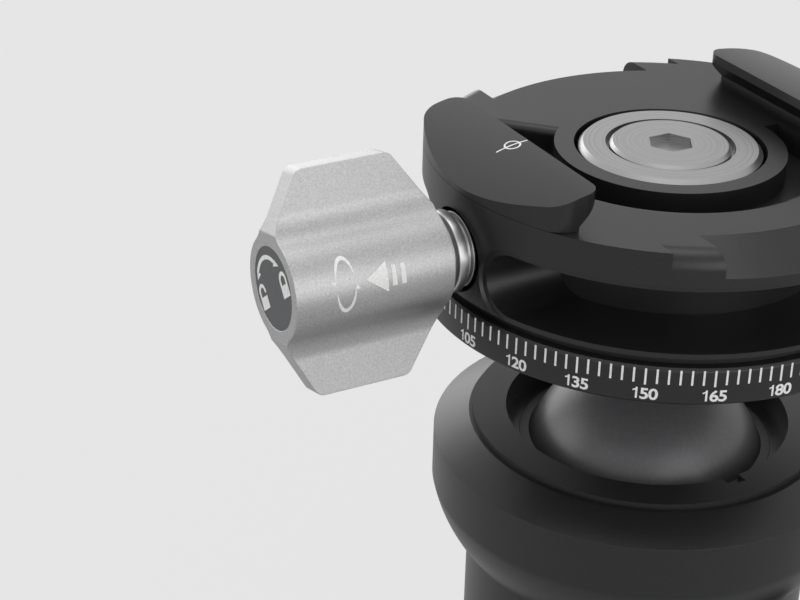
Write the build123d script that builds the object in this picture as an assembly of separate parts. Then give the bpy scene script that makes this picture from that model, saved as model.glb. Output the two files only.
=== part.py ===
"""Compact tripod ball head with a panning dovetail clamp on top.

Millimetres, +Z up, origin at the centre of the base's underside.
The clamp's spindle runs along X, and its dovetail channel along Y.
"""
from build123d import *
from math import cos, pi, radians, sin, sqrt
import os

os.makedirs("parts", exist_ok=True)

# ---- Clearances ----
run_gap = 0.05            # radial, round parts that turn or slide in each other
face_gap = 0.05           # axial, between faces of bodies that move apart
ball_gap = 0.08           # between the ball and its two seats
free_gap = 0.3            # between curved faces that only pass each other

# ---- Base that bolts to the tripod ----
base_r = 23.0
base_h = 8.0
base_edge = 0.8           # chamfer on the base's rims
socket_r = 4.7625         # 3/8"-16 tripod thread, nominal
socket_depth = 10.0
bush_bore_r = 2.55        # 1/4"-20 tapping size
bush_length = 9.0
bush_slot = 1.6
spigot_r = 13.0
base_bearing_r = 21.5
base_bearing_t = 0.5
retainer_r = 16.0
retainer_t = 2.0
retainer_hole_r = 5.5
base_screw_circle_r = 9.5
base_screw_r = 1.25
base_screw_head_r = 2.3
base_screw_head_h = 1.2
base_screw_length = 7.0
base_screw_count = 3

# ---- Housing ----
foot_r = 22.5             # lower, straight part of the housing
floor_t = 7.0
ledge_h = 4.0             # from the floor to the ledge that carries the cup
cavity_r = 16.5
cup_bore_r = 18.7
collar_bore_r = 21.0
flare_r = 27.5            # widest part
flare_drop = 9.3          # height of the rounded taper under the widest part
flare_bulge = 0.75        # the taper's rise over its chord
rim_low = -0.7            # rim's lower edge above the ball's centre
rim_high = 6.0            # rim's upper edge above the ball's centre
crown_high = 8.4          # top of the housing's upper cone
crown_r = 23.0
foot_edge = 0.8

# ---- Ball, seats and collar ----
ball_r = 16.0
ball_poke = 0.6           # the ball reaches this far below the cup's underside
cup_wall = 0.1            # cup to housing bore
cup_h = 10.4
cup_spring_t = 0.8
cup_spring_in_r = 16.7
collar_high = 9.2         # collar's top above the ball's centre
collar_top_r = 22.5
collar_flange_t = 1.8
collar_open_r = 18.2
collar_lip_r = 16.3
collar_lip_t = 0.8
collar_low = 1.5          # collar's lower end above the ball's centre
seat_high = 5.6           # seat's top above the ball's centre
seat_low = 1.2
seat_outer_r = 17.6
wrench_notch_w = 2.4
wrench_notch_d = 0.8
wrench_notch_count = 2

# ---- Stem and scale ring ----
neck_r = 7.0
neck_flare_r = 10.0
neck_flare_h = 4.0
ring_above_ball = 27.3    # underside of the scale ring above the ball's centre
ring_r = 30.0
ring_h = 4.7
ring_edge = 0.35
hub_r = 9.5
hub_h = 10.35
pan_washer_in = 1.4       # washer's edge inside the scale ring's
pan_washer_t = 0.95
hub_washer_t = 0.3
disc_r = 11.2
disc_top = 14.45          # hub disc's top above the scale ring
disc_edge = 0.6
disc_recess_r = 7.9
disc_recess_d = 1.3
hub_screw_head_r = 7.4
hub_screw_head_t = 1.5
hub_screw_r = 4.0
hub_screw_length = 24.0
hub_hex = 5.0             # across flats
hub_hex_d = 1.1

# ---- Clamp body ----
body_r = ring_r           # the body stands flush on the scale ring
body_h = 13.25            # underside to channel floor
body_low_edge = 0.45
body_bore_step = 9.0      # height of the shoulder that the hub washer holds down
disc_bore_r = 11.7
window_low = 0.65         # side windows, above the body's underside
window_high = 8.45
window_start = 5.9        # distance from the spindle's plane
window_in_r = 20.0
window_rim = 0.7
window_rim_d = 0.5
boss_r = 14.1             # raised boss round the hub
groove_r = 18.5           # groove round the boss, its outer wall
groove_d = 3.0
groove_round = 1.1        # rounding of the groove's outer rim
recess_r = 26.0           # the groove widens to this under the jaw's far end
recess_start = 134.5      # degrees about +Z from +X
recess_y = 11.6
rim_round = 2.2           # rounding of the deck's rim beside the reliefs
rim_half_w = 17.0
relief_half_w = 11.8      # sloped reliefs at the channel's two ends
relief_back = 3.2         # centre of their curve, beyond the axis
relief_start = 2.0        # from the body's wall to their upper edge's curve
relief_drop = 3.2
relief_run = 5.4

# ---- Dovetail, for 38 mm plates ----
lip_open = 20.45          # moving lip from the axis, clamp open
lip_fixed = 16.3          # fixed lip from the axis
jaw_h = 4.35              # lip's top above the channel floor
lip_t = 1.15              # height of the upright face of the lip
dovetail_foot = 0.45      # height of the upright face under the slope
jaw_half_len = 15.6
jaw_corner = 3.0
lip_corner = 2.0
jaw_rim_h = 0.6           # jaw's height at its outer edge
jaw_crown = 0.95          # rise of the crown above its chord
jaw_stroke = 3.0

# ---- Jaw's leg, feet, pins and springs ----
spindle_up = 5.6          # spindle's axis above the body's underside
leg_t = 3.2
leg_half_w = 4.6
leg_low = 1.6             # leg's lower end above the body's underside
leg_in = 2.8              # leg's outer face inside the body's wall
slot_side = 0.2           # leg to slot, each side
nut_wall = 10.3           # inner end of the spindle's hole from the axis
spindle_r = 3.0
nut_r = 4.0
nut_length = 6.0
guide_y = 8.6
guide_r = 1.0
guide_down = 1.9          # pins' axis below the channel floor
foot_half_w = 2.2
foot_t = 2.2
foot_in = 3.6
foot_depth = 3.5
pocket_side = 0.3
pocket_in = 3.3
pocket_length = 8.1
pin_bite = 1.0            # pins' length inside the body's metal, each end
spring_wire = 0.4
jaw_spring_r = 1.4
jaw_spring_turns = 4

# ---- Clamp knob ----
collar_r = 4.95
collar_length = 5.9
collar_head = 2.4         # length of its wide part
collar_neck_r = 3.85
collar_neck = 1.2
collar_tail_r = 3.45
collar_hole_r = 5.1
knob_gap = 0.05
knob_length = 20.0
knob_barrel_r = 6.2
knob_reach = 13.2
knob_wing_t = 3.0
knob_blend = 4.0
knob_root = 6.4           # half height of the wings where they meet the end faces
knob_inner_taper = 4.8
knob_outer_taper = 3.6
knob_corner = 1.3
knob_turn = 13.5          # degrees, how the wings stand at rest
inlay_r = 4.85
inlay_t = 1.9
hex_flats = 5.6
hex_play = 0.2
hex_length = 3.0
knob_hex_length = 3.8
spring_room_r = 4.5
spindle_neck_r = 2.5
knob_screw_head_r = 4.1
knob_screw_head_t = 1.8
knob_screw_r = 1.4
knob_screw_length = 6.0
knob_pull = 3.2
knob_spring_r = 3.6
knob_spring_turns = 5

# ---- Main lock ----
lock_up = 2.4             # shaft's axis above the cup's underside
wedge_inner_x = 13.2
wedge_outer_x = 17.1
wedge_half_w = 4.0
wedge_h = 4.6             # at its thin end
wedge_slope = 0.35
wedge_gap = 0.1
lock_shaft_r = 4.0
lock_tip_r = 2.1
lock_tip_bite = 2.4
lock_neck_r = 6.0
lock_neck_x = 25.8
lock_knob_x = 28.4
lock_knob_length = 21.0
lock_barrel_r = 8.0
lock_reach = 15.0
lock_wing_t = 3.6
lock_root = 8.3
lock_blend = 4.5
lock_inlay_r = 6.4
lock_travel = 1.05

# ---- Thumb screws of the two pan locks ----
pan_knob_r = 6.5
pan_knob_t = 7.0
pan_knob_gap = 1.0
pan_knob_flutes = 12
pan_flute_r = 0.9
pan_screw_r = 2.5
pan_pad_r = 2.45
pan_pad_length = 3.0
pan_travel = 0.6
base_pan_angle = -60.0    # degrees about +Z from +X

# ---- Heights that follow ----
house_z = base_h + base_bearing_t + face_gap
floor_z = house_z + floor_t
ledge_z = floor_z + ledge_h
cup_z = ledge_z + cup_spring_t
ball_z = cup_z + ball_r - ball_poke
ring_z = ball_z + ring_above_ball
ring_top = ring_z + ring_h
body_z = ring_top + pan_washer_t + face_gap
deck_z = body_z + body_h
jaw_z = deck_z + face_gap
spindle_z = body_z + spindle_up
guide_z = deck_z - guide_down
hub_top = ring_top + hub_h
leg_outer_x = -(body_r - leg_in)
foot_outer_x = -(body_r - foot_in)
pocket_outer_x = -(body_r - pocket_in)
pocket_inner_x = pocket_outer_x + pocket_length
collar_outer_x = leg_outer_x - collar_length
knob_inner_x = collar_outer_x - knob_gap
knob_outer_x = knob_inner_x - knob_length
slot_inner_x = leg_outer_x + leg_t + jaw_stroke + slot_side
lock_z = cup_z + lock_up

low = (Align.CENTER, Align.CENTER, Align.MIN)


# ---- Helpers ----
def disc(r, z0, z1, x=0.0, y=0.0):
    return Pos(x, y, z0) * Cylinder(r, z1 - z0, align=low)


def ring(r_out, r_in, z0, z1):
    return disc(r_out, z0, z1) - disc(r_in, z0 - 1, z1 + 1)


def rod(r, x0, x1, y=0.0, z=0.0):
    return Pos(x0, y, z) * Rot(0, 90, 0) * Cylinder(r, x1 - x0, align=low)


def hex_rod(flats, x0, x1, z):
    prism = extrude(RegularPolygon(flats / 2, 6, major_radius=False), x1 - x0)
    return Pos(x0, 0, z) * Rot(0, 90, 0) * prism


def block(x0, x1, y0, y1, z0, z1):
    size = Box(x1 - x0, y1 - y0, z1 - z0, align=(Align.MIN, Align.MIN, Align.MIN))
    return Pos(x0, y0, z0) * size


def turned(points):
    """Solid turned about Z from (radius, height) points."""
    return revolve(Plane.XZ * make_face(Polyline(points, close=True)), Axis.Z)


def coil(r, wire, turns, x0, x1, y, z):
    """Compression spring along X, its wire's ends inside x0 to x1."""
    length = x1 - x0 - wire
    path = Helix(length / turns, length, r)
    wire_end = Plane(origin=path @ 0, z_dir=path % 0)
    spring = sweep(wire_end * Circle(wire / 2), path=path)
    return Pos(x0 + wire / 2, y, z) * Rot(0, 90, 0) * spring


def wing_knob(length, barrel_r, reach, wing_t, root, blend, corner):
    """Knob along +X from x = 0: a barrel with two wings blended into it."""
    cross = Circle(barrel_r) + Rectangle(wing_t, 2 * reach)
    roots = [v for v in cross.vertices() if abs(v.Y) < barrel_r]
    cross = fillet(roots, blend)
    bar = Rot(0, 90, 0) * Rot(0, 0, 90) * extrude(cross, length)
    side = [
        (0, root), (knob_inner_taper, reach), (length - knob_outer_taper, reach), (length, root),
        (length, -root), (length - knob_outer_taper, -reach), (knob_inner_taper, -reach), (0, -root),
    ]
    shape = make_face(Polyline(side, close=True))
    tips = [v for v in shape.vertices() if abs(v.Y) > root + 0.01]
    shape = fillet(tips, corner)
    return bar & extrude(Plane.XZ * shape, 2 * reach, both=True)


def thumb_screw(x0, shank_x0):
    """Fluted thumb knob along +X from x0, its screw reaching back to shank_x0."""
    head = rod(pan_knob_r, x0, x0 + pan_knob_t)
    head = chamfer(head.edges().filter_by(GeomType.CIRCLE), 0.6)
    for step in range(pan_knob_flutes):
        angle = radians(360 * step / pan_knob_flutes)
        head -= rod(pan_flute_r, x0 - 1, x0 + pan_knob_t + 1, pan_knob_r * cos(angle), pan_knob_r * sin(angle))
    return head + rod(pan_screw_r, shank_x0, x0 + 1)


parts = {}

# ---- Base ----
base = disc(base_r, 0, base_h)
base = chamfer(base.edges().filter_by(GeomType.CIRCLE), base_edge)
base += disc(spigot_r, base_h - 1, floor_z)
base -= disc(socket_r, -1, socket_depth)
for step in range(base_screw_count):
    spot = Rot(0, 0, 360 * step / base_screw_count) * Pos(base_screw_circle_r, 0, 0)
    base -= spot * disc(base_screw_r, floor_z + retainer_t - base_screw_length, floor_z + 1)
parts["base_plate"] = base

bush = disc(socket_r, 0, bush_length) - disc(bush_bore_r, -1, bush_length + 1)
bush -= block(-socket_r, socket_r, -bush_slot / 2, bush_slot / 2, -1, bush_slot)
parts["thread_bush"] = bush

parts["base_bearing"] = ring(base_bearing_r, spigot_r + run_gap, base_h, base_h + base_bearing_t)

retainer = ring(retainer_r, retainer_hole_r, floor_z, floor_z + retainer_t)
screws = Part()
for step in range(base_screw_count):
    spot = Rot(0, 0, 360 * step / base_screw_count) * Pos(base_screw_circle_r, 0, 0)
    retainer -= spot * disc(base_screw_r, floor_z - 1, floor_z + retainer_t + 1)
    screw = disc(base_screw_r, floor_z + retainer_t - base_screw_length, floor_z + retainer_t)
    screw += disc(base_screw_head_r, floor_z + retainer_t, floor_z + retainer_t + base_screw_head_h)
    screws += spot * screw
parts["base_retainer"] = retainer
parts["base_screws"] = screws

# ---- Housing ----
flare_low = (foot_r, ball_z + rim_low - flare_drop)
flare_high = (flare_r, ball_z + rim_low)
chord = sqrt((flare_r - foot_r) ** 2 + flare_drop ** 2)
flare_mid = (
    (foot_r + flare_r) / 2 + flare_bulge * flare_drop / chord,
    ball_z + rim_low - flare_drop / 2 - flare_bulge * (flare_r - foot_r) / chord,
)
below = Polyline((0, ball_z + crown_high), (0, house_z), (foot_r - foot_edge, house_z),
                 (foot_r, house_z + foot_edge), flare_low)
above = Polyline(flare_high, (flare_r, ball_z + rim_high), (crown_r, ball_z + crown_high),
                 (0, ball_z + crown_high))
profile = below + ThreePointArc(flare_low, flare_mid, flare_high) + above
housing = revolve(Plane.XZ * make_face(profile), Axis.Z)
housing -= disc(spigot_r + run_gap, house_z - 1, floor_z + 1)
housing -= disc(cavity_r, floor_z - face_gap, ledge_z + 1)
housing -= disc(cup_bore_r, ledge_z, ball_z + collar_low + 1)
housing -= disc(collar_bore_r, ball_z + collar_low, ball_z + crown_high + 1)
housing -= disc(collar_top_r, ball_z + collar_high - collar_flange_t, ball_z + crown_high + 1)
housing -= rod(lock_shaft_r + run_gap, 0, flare_r, z=lock_z)
pan_axis = Rot(0, 0, base_pan_angle)
base_pan_z = (house_z + floor_z) / 2
housing -= pan_axis * rod(pan_screw_r + run_gap, 0, flare_r, z=base_pan_z)
parts["housing"] = housing

collar = ring(collar_bore_r, collar_open_r, ball_z + collar_low, ball_z + collar_high)
collar += ring(collar_top_r, collar_open_r, ball_z + collar_high - collar_flange_t, ball_z + collar_high)
collar += ring(collar_open_r, collar_lip_r, ball_z + seat_high - collar_lip_t, ball_z + seat_high)
collar -= disc(seat_outer_r + run_gap, ball_z, ball_z + seat_high - collar_lip_t)
for step in range(wrench_notch_count):
    half = wrench_notch_w / 2
    notch = block(collar_open_r - 1, collar_open_r + 1.5, -half, half,
                  ball_z + collar_high - wrench_notch_d, ball_z + collar_high + 1)
    collar -= Rot(0, 0, 360 * (step + 0.5) / wrench_notch_count) * notch
parts["collar"] = collar

ball_room = Pos(0, 0, ball_z) * Sphere(ball_r + ball_gap)
cup = disc(cup_bore_r - cup_wall, cup_z, cup_z + cup_h) - ball_room
notch_side = wedge_half_w + free_gap
wedge_low = cup_z + wedge_gap
wedge_top = wedge_low + wedge_h
wedge_reach = cup_bore_r - wedge_inner_x + 1
roof = make_face(Polyline([
    (wedge_inner_x - 1, cup_z - 1), (wedge_inner_x - 1, wedge_top + wedge_gap - wedge_slope),
    (wedge_inner_x + wedge_reach, wedge_top + wedge_gap + wedge_slope * wedge_reach),
    (wedge_inner_x + wedge_reach, cup_z - 1),
], close=True))
cup -= extrude(Plane.XZ * roof, notch_side, both=True)
parts["ball_cup"] = cup

wave = turned([
    (cup_spring_in_r, ledge_z), (cup_bore_r - cup_wall, ledge_z + cup_spring_t / 2),
    (cup_bore_r - cup_wall, ledge_z + cup_spring_t), (cup_spring_in_r, ledge_z + cup_spring_t / 2),
])
parts["cup_spring"] = wave

seat = disc(seat_outer_r, ball_z + seat_low, ball_z + seat_high - collar_lip_t - face_gap)
seat += disc(collar_lip_r - run_gap, ball_z + seat_low, ball_z + seat_high)
seat -= ball_room
parts["ball_seat"] = seat

# ---- Ball and scale ring ----
ball = Pos(0, 0, ball_z) * Sphere(ball_r) + disc(neck_r, ball_z, ring_z)
ball += turned([
    (0, ring_z - neck_flare_h), (neck_r, ring_z - neck_flare_h),
    (neck_flare_r, ring_z - neck_flare_h / 4), (neck_flare_r, ring_z), (0, ring_z),
])
screw_top = ring_top + disc_top - disc_recess_d
screw_low = screw_top - hub_screw_length
ball -= disc(hub_screw_r, screw_low, ring_z + 1)
parts["ball"] = ball

scale = disc(ring_r, ring_z, ring_top)
scale = chamfer(scale.edges().filter_by(GeomType.CIRCLE), ring_edge)
scale += disc(hub_r, ring_top - 1, hub_top)
scale -= disc(hub_screw_r, ring_z - 1, hub_top + 1)
parts["scale_ring"] = scale

parts["pan_washer"] = ring(ring_r - pan_washer_in, hub_r + run_gap, ring_top, ring_top + pan_washer_t)

hub_disc = disc(disc_r, hub_top, ring_top + disc_top)
hub_disc = chamfer(hub_disc.edges().filter_by(GeomType.CIRCLE).sort_by(Axis.Z)[-1], disc_edge)
hub_disc -= disc(disc_recess_r, screw_top, ring_top + disc_top + 1)
hub_disc -= disc(hub_screw_r, hub_top - 1, ring_top + disc_top + 1)
parts["hub_disc"] = hub_disc

parts["hub_washer"] = ring(disc_r, hub_r + run_gap, hub_top - hub_washer_t, hub_top)

hub_screw = disc(hub_screw_head_r, screw_top, screw_top + hub_screw_head_t)
hub_screw = chamfer(hub_screw.edges().filter_by(GeomType.CIRCLE).sort_by(Axis.Z)[-1], 0.4)
hub_screw += disc(hub_screw_r, screw_low, screw_top + 1)
hex_well = extrude(RegularPolygon(hub_hex / 2, 6, major_radius=False), 2 * hub_hex_d)
hub_screw -= Pos(0, 0, screw_top + hub_screw_head_t - hub_hex_d) * hex_well
parts["hub_screw"] = hub_screw


# ---- Clamp body ----
def dovetail_side(lip, outer, top):
    """Section of a jaw on the +X side, from its lip to its outer wall."""
    slope = jaw_h - lip_t - dovetail_foot
    return [
        (lip, top), (lip, top - lip_t), (lip + slope, top - lip_t - slope),
        (lip + slope, top - jaw_h), (outer, top - jaw_h),
    ]


def jaw_blank(lip, foot_z):
    """Jaw on the +X side: dovetail section, crowned top, round outer wall."""
    top = foot_z + jaw_h
    chord_mid = ((lip + body_r) / 2, foot_z + (jaw_h + jaw_rim_h) / 2 + jaw_crown)
    crown = ThreePointArc((body_r, foot_z + jaw_rim_h), chord_mid, (lip, top))
    flank = Polyline(*dovetail_side(lip, body_r, top), (body_r, foot_z + jaw_rim_h))
    section = make_face(crown + flank)
    blank = extrude(Plane.XZ * section, jaw_half_len, both=True)
    plan = disc(body_r, foot_z, top) & block(lip, body_r, -jaw_half_len, jaw_half_len, foot_z, top)
    end_w = sqrt(body_r**2 - jaw_half_len**2) - lip
    upright = plan.edges().filter_by(Axis.Z)
    plan = fillet([e for e in upright if e.center().X > lip + end_w / 2], min(jaw_corner, 0.6 * end_w))
    plan = fillet([e for e in plan.edges().filter_by(Axis.Z) if e.center().X < lip + 0.1],
                  min(lip_corner, 0.39 * end_w))
    return blank & plan


def window(side):
    """Slot through the wall on one Y side, and its stepped rim."""
    mid = body_z + (window_low + window_high) / 2
    half = (window_high - window_low) / 2
    cuts = []
    for extra, r_in in ((0, window_in_r), (window_rim, body_r - window_rim_d)):
        tall = half + extra
        start = window_start + half
        shape = block(-body_r - 1, body_r + 1, start, body_r + 1, mid - tall, mid + tall)
        shape += rod(tall, -body_r - 1, body_r + 1, start, mid)
        cuts.append(shape & ring(body_r + 1, r_in, mid - tall, mid + tall))
    both = cuts[0] + cuts[1]
    return both if side > 0 else mirror(both, Plane.XZ)


body = disc(body_r, body_z, deck_z)
body = chamfer(body.edges().filter_by(GeomType.CIRCLE).sort_by(Axis.Z)[0], body_low_edge)
body += jaw_blank(lip_fixed, deck_z)
body -= disc(hub_r + run_gap, body_z - 1, deck_z)
body -= disc(disc_bore_r, body_z + body_bore_step, deck_z + 1)
body -= window(1)
body -= window(-1)
# slot for the jaw's leg, hole for the collar, room for the nut and the spindle
slot_half = leg_half_w + slot_side
slot_outer_x = leg_outer_x - slot_side
body -= block(slot_outer_x, slot_inner_x, -slot_half, slot_half, body_z + leg_low - slot_side, deck_z + 1)
body -= rod(collar_hole_r, -body_r - 1, slot_outer_x + 1, z=spindle_z)
body -= rod(nut_r, slot_inner_x - 1, slot_inner_x + nut_length, z=spindle_z)
body -= rod(spindle_r + run_gap, slot_inner_x, -nut_wall, z=spindle_z)
# pockets and pin holes for the jaw's feet
for y in (-guide_y, guide_y):
    half = foot_half_w + pocket_side
    body -= block(pocket_outer_x, pocket_inner_x, y - half, y + half,
                  deck_z - foot_depth - pocket_side, deck_z + 1)
    body -= rod(guide_r, pocket_outer_x - pin_bite, pocket_inner_x + pin_bite, y, guide_z)
# groove round the boss, from the recess under the jaw's far end to the fixed jaw
floor = deck_z - groove_d
edge_z = deck_z - groove_round
bend = groove_round * (1 - sqrt(0.5))
wall = Polyline((boss_r, deck_z + 1), (boss_r, floor), (groove_r, floor), (groove_r, edge_z))
lip_arc = ThreePointArc((groove_r, edge_z), (groove_r + bend, deck_z - bend), (groove_r + groove_round, deck_z))
over = Polyline((groove_r + groove_round, deck_z), (groove_r + groove_round, deck_z + 1), (boss_r, deck_z + 1))
groove = revolve(Plane.XZ * make_face(wall + lip_arc + over), Axis.Z)
start_cut = Rot(0, 0, recess_start) * block(-body_r, body_r, 0, body_r, floor - 1, deck_z + 2)
groove = groove & start_cut
groove += (revolve(Plane.XZ * make_face(wall + lip_arc + over), Axis.Z)
           & block(-body_r, lip_fixed, -body_r, 0, floor - 1, deck_z + 2))
body -= groove
recess = ring(recess_r, boss_r, floor, deck_z + 1) & start_cut
body -= recess & block(-body_r, 0, recess_y, body_r, floor - 1, deck_z + 2)
# the recess's rounded edge, along its radial end
arc_out = ThreePointArc((0, -groove_round), (bend, -bend), (groove_round, 0))
cap = Polyline((groove_round, 0), (groove_round, 1), (-1, 1), (-1, -groove_round), (0, -groove_round))
soft = extrude(Plane.YZ * make_face(arc_out + cap), recess_r)
soft = Pos(0, 0, deck_z) * Rot(0, 0, recess_start) * mirror(soft, Plane.XZ)
body -= soft - disc(boss_r, floor, deck_z + 2)
# rounding of the deck's rim and reliefs at the channel's ends
rim_arc = ThreePointArc(
    (body_r - rim_round, deck_z), (body_r - rim_round * (1 - sqrt(0.5)), deck_z - rim_round * (1 - sqrt(0.5))),
    (body_r, deck_z - rim_round))
rim_cap = Polyline((body_r, deck_z - rim_round), (body_r + 1, deck_z - rim_round), (body_r + 1, deck_z + 1),
                   (body_r - rim_round, deck_z + 1), (body_r - rim_round, deck_z))
rim = revolve(Plane.XZ * make_face(rim_arc + rim_cap), Axis.Z)
past_jaw = jaw_half_len + slot_side
slope = turned([
    (body_r - relief_start, deck_z), (body_r - relief_start + 2 * relief_run, deck_z - 2 * relief_drop),
    (body_r - relief_start + 2 * relief_run, deck_z + 1), (body_r - relief_start, deck_z + 1),
])
for side in (1, -1):
    ends = block(-rim_half_w, rim_half_w, past_jaw, body_r + 1, deck_z - rim_round - 1, deck_z + 2)
    middle = block(-relief_half_w, relief_half_w, past_jaw, body_r + 1, deck_z - 2 * relief_drop, deck_z + 2)
    cut = (rim & ends) + (Pos(0, -relief_back, 0) * slope & middle)
    body -= cut if side > 0 else mirror(cut, Plane.XZ)
# hole of the pan lock, on the fixed jaw's side
body -= rod(pan_screw_r + run_gap, 0, body_r + 1, z=spindle_z)
parts["clamp_body"] = body

nut = rod(nut_r, slot_inner_x, slot_inner_x + nut_length, z=spindle_z)
parts["spindle_nut"] = nut - rod(spindle_r + run_gap, slot_inner_x - 1, slot_inner_x + nut_length + 1, z=spindle_z)

pins = Part()
for y in (-guide_y, guide_y):
    pins += rod(guide_r, pocket_outer_x - pin_bite, pocket_inner_x + pin_bite, y, guide_z)
parts["guide_pins"] = pins

# ---- Moving jaw ----
jaw = mirror(jaw_blank(lip_open, jaw_z), Plane.YZ)
leg_inner_x = leg_outer_x + leg_t
leg = block(leg_outer_x, leg_inner_x, -leg_half_w, leg_half_w, body_z + leg_low, jaw_z + jaw_rim_h)
leg -= rod(spindle_r + run_gap, leg_outer_x - 1, leg_inner_x + 1, z=spindle_z)
jaw += leg
for y in (-guide_y, guide_y):
    foot = block(foot_outer_x, foot_outer_x + foot_t, y - foot_half_w, y + foot_half_w,
                 deck_z - foot_depth, jaw_z + jaw_rim_h)
    jaw += foot - rod(guide_r + run_gap, foot_outer_x - 1, foot_outer_x + foot_t + 1, y, guide_z)
parts["jaw"] = jaw

springs = Part()
for y in (-guide_y, guide_y):
    springs += coil(jaw_spring_r, spring_wire, jaw_spring_turns,
                    foot_outer_x + foot_t + face_gap, pocket_inner_x - face_gap, y, guide_z)
parts["jaw_springs"] = springs

head_end_x = collar_outer_x + collar_head
thrust = rod(collar_r, collar_outer_x, head_end_x, z=spindle_z)
thrust = chamfer(thrust.edges().filter_by(GeomType.CIRCLE), 0.3)
thrust += rod(collar_neck_r, head_end_x - 0.5, head_end_x + collar_neck, z=spindle_z)
thrust += rod(collar_tail_r, head_end_x, leg_outer_x, z=spindle_z)
thrust -= rod(spindle_r + run_gap, collar_outer_x - 1, leg_outer_x + 1, z=spindle_z)
parts["thrust_collar"] = thrust

# ---- Spindle and clamp knob ----
tip_x = -nut_wall - jaw_stroke - face_gap
hex_end_x = knob_inner_x - hex_length
neck_end_x = knob_outer_x + inlay_t + 2 * knob_screw_head_t + face_gap
spindle = rod(spindle_r, knob_inner_x, tip_x, z=spindle_z)
spindle += hex_rod(hex_flats, hex_end_x, knob_inner_x, spindle_z)
spindle += rod(spindle_neck_r, neck_end_x, hex_end_x, z=spindle_z)
spindle -= rod(knob_screw_r, neck_end_x - 1, neck_end_x + knob_screw_length, z=spindle_z)
parts["clamp_spindle"] = spindle

screw = rod(knob_screw_head_r, neck_end_x - knob_screw_head_t, neck_end_x, z=spindle_z)
screw += rod(knob_screw_r, neck_end_x - 1, neck_end_x + knob_screw_length, z=spindle_z)
screw -= hex_rod(2.5, neck_end_x - knob_screw_head_t - 1, neck_end_x - 0.6, spindle_z)
parts["knob_screw"] = screw

knob = wing_knob(knob_length, knob_barrel_r, knob_reach, knob_wing_t, knob_root, knob_blend, knob_corner)
knob = Pos(knob_inner_x, 0, spindle_z) * Rot(-knob_turn, 0, 0) * Rot(0, 0, 180) * knob
shoulder_x = knob_inner_x - knob_hex_length
knob -= hex_rod(hex_flats + 2 * hex_play, shoulder_x - 1, knob_inner_x + 1, spindle_z)
knob -= rod(spring_room_r, knob_outer_x + inlay_t, shoulder_x, z=spindle_z)
knob -= rod(inlay_r, knob_outer_x - 1, knob_outer_x + inlay_t, z=spindle_z)
parts["clamp_knob"] = knob

inlay = rod(inlay_r, knob_outer_x + 0.1, knob_outer_x + inlay_t, z=spindle_z)
parts["clamp_knob_inlay"] = inlay

parts["knob_spring"] = coil(knob_spring_r, spring_wire, knob_spring_turns,
                            neck_end_x + face_gap, shoulder_x - face_gap, 0, spindle_z)

# ---- Main lock ----
wedge = make_face(Polyline([
    (wedge_inner_x, wedge_low), (wedge_inner_x, wedge_top),
    (wedge_outer_x, wedge_top + wedge_slope * (wedge_outer_x - wedge_inner_x)), (wedge_outer_x, wedge_low),
], close=True))
wedge = extrude(Plane.XZ * wedge, wedge_half_w, both=True)
tip_end_x = wedge_outer_x - lock_tip_bite
wedge -= rod(lock_tip_r + run_gap, tip_end_x - face_gap, wedge_outer_x + 1, z=lock_z)
parts["lock_wedge"] = wedge

shaft_x = cup_bore_r + face_gap
shaft = rod(lock_tip_r, tip_end_x, shaft_x + 1, z=lock_z)
shaft += rod(lock_shaft_r, shaft_x, lock_knob_x + lock_knob_length - 6, z=lock_z)
parts["lock_shaft"] = shaft

lock_end_x = lock_knob_x + lock_knob_length
lock_knob = wing_knob(lock_knob_length, lock_barrel_r, lock_reach, lock_wing_t, lock_root, lock_blend, knob_corner)
lock_knob = Pos(lock_knob_x, 0, lock_z) * lock_knob
lock_knob += rod(lock_neck_r, lock_neck_x, lock_knob_x + 1, z=lock_z)
lock_knob -= rod(lock_shaft_r, 0, lock_end_x - 6, z=lock_z)
lock_knob -= rod(lock_inlay_r, lock_end_x - inlay_t, lock_end_x + 1, z=lock_z)
parts["lock_knob"] = lock_knob
parts["lock_knob_inlay"] = rod(lock_inlay_r, lock_end_x - inlay_t, lock_end_x - 0.1, z=lock_z)

# ---- Pan locks: a thumb screw and the pad that it pushes on the hub or the spigot ----
pad = rod(pan_pad_r, hub_r + face_gap, hub_r + face_gap + pan_pad_length, z=spindle_z)
parts["pan_pad"] = pad
screw_x = hub_r + face_gap + pan_pad_length + face_gap
parts["pan_knob"] = Pos(0, 0, spindle_z) * thumb_screw(body_r + pan_knob_gap, screw_x)

pad = rod(pan_pad_r, spigot_r + 2 * face_gap, spigot_r + 2 * face_gap + pan_pad_length, z=base_pan_z)
parts["base_pan_pad"] = pan_axis * pad
screw_x = spigot_r + 2 * face_gap + pan_pad_length + face_gap
parts["base_pan_knob"] = pan_axis * Pos(0, 0, base_pan_z) * thumb_screw(foot_r + pan_knob_gap, screw_x)

for name, shape in parts.items():
    export_step(shape, f"parts/{name}.step")
    print(name, len(shape.solids()), round(shape.volume, 1))
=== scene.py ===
from math import cos, pi, radians, sin, sqrt

import bmesh
import bpy
from mathutils import Matrix, Vector
from mathutils.bvhtree import BVHTree


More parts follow.
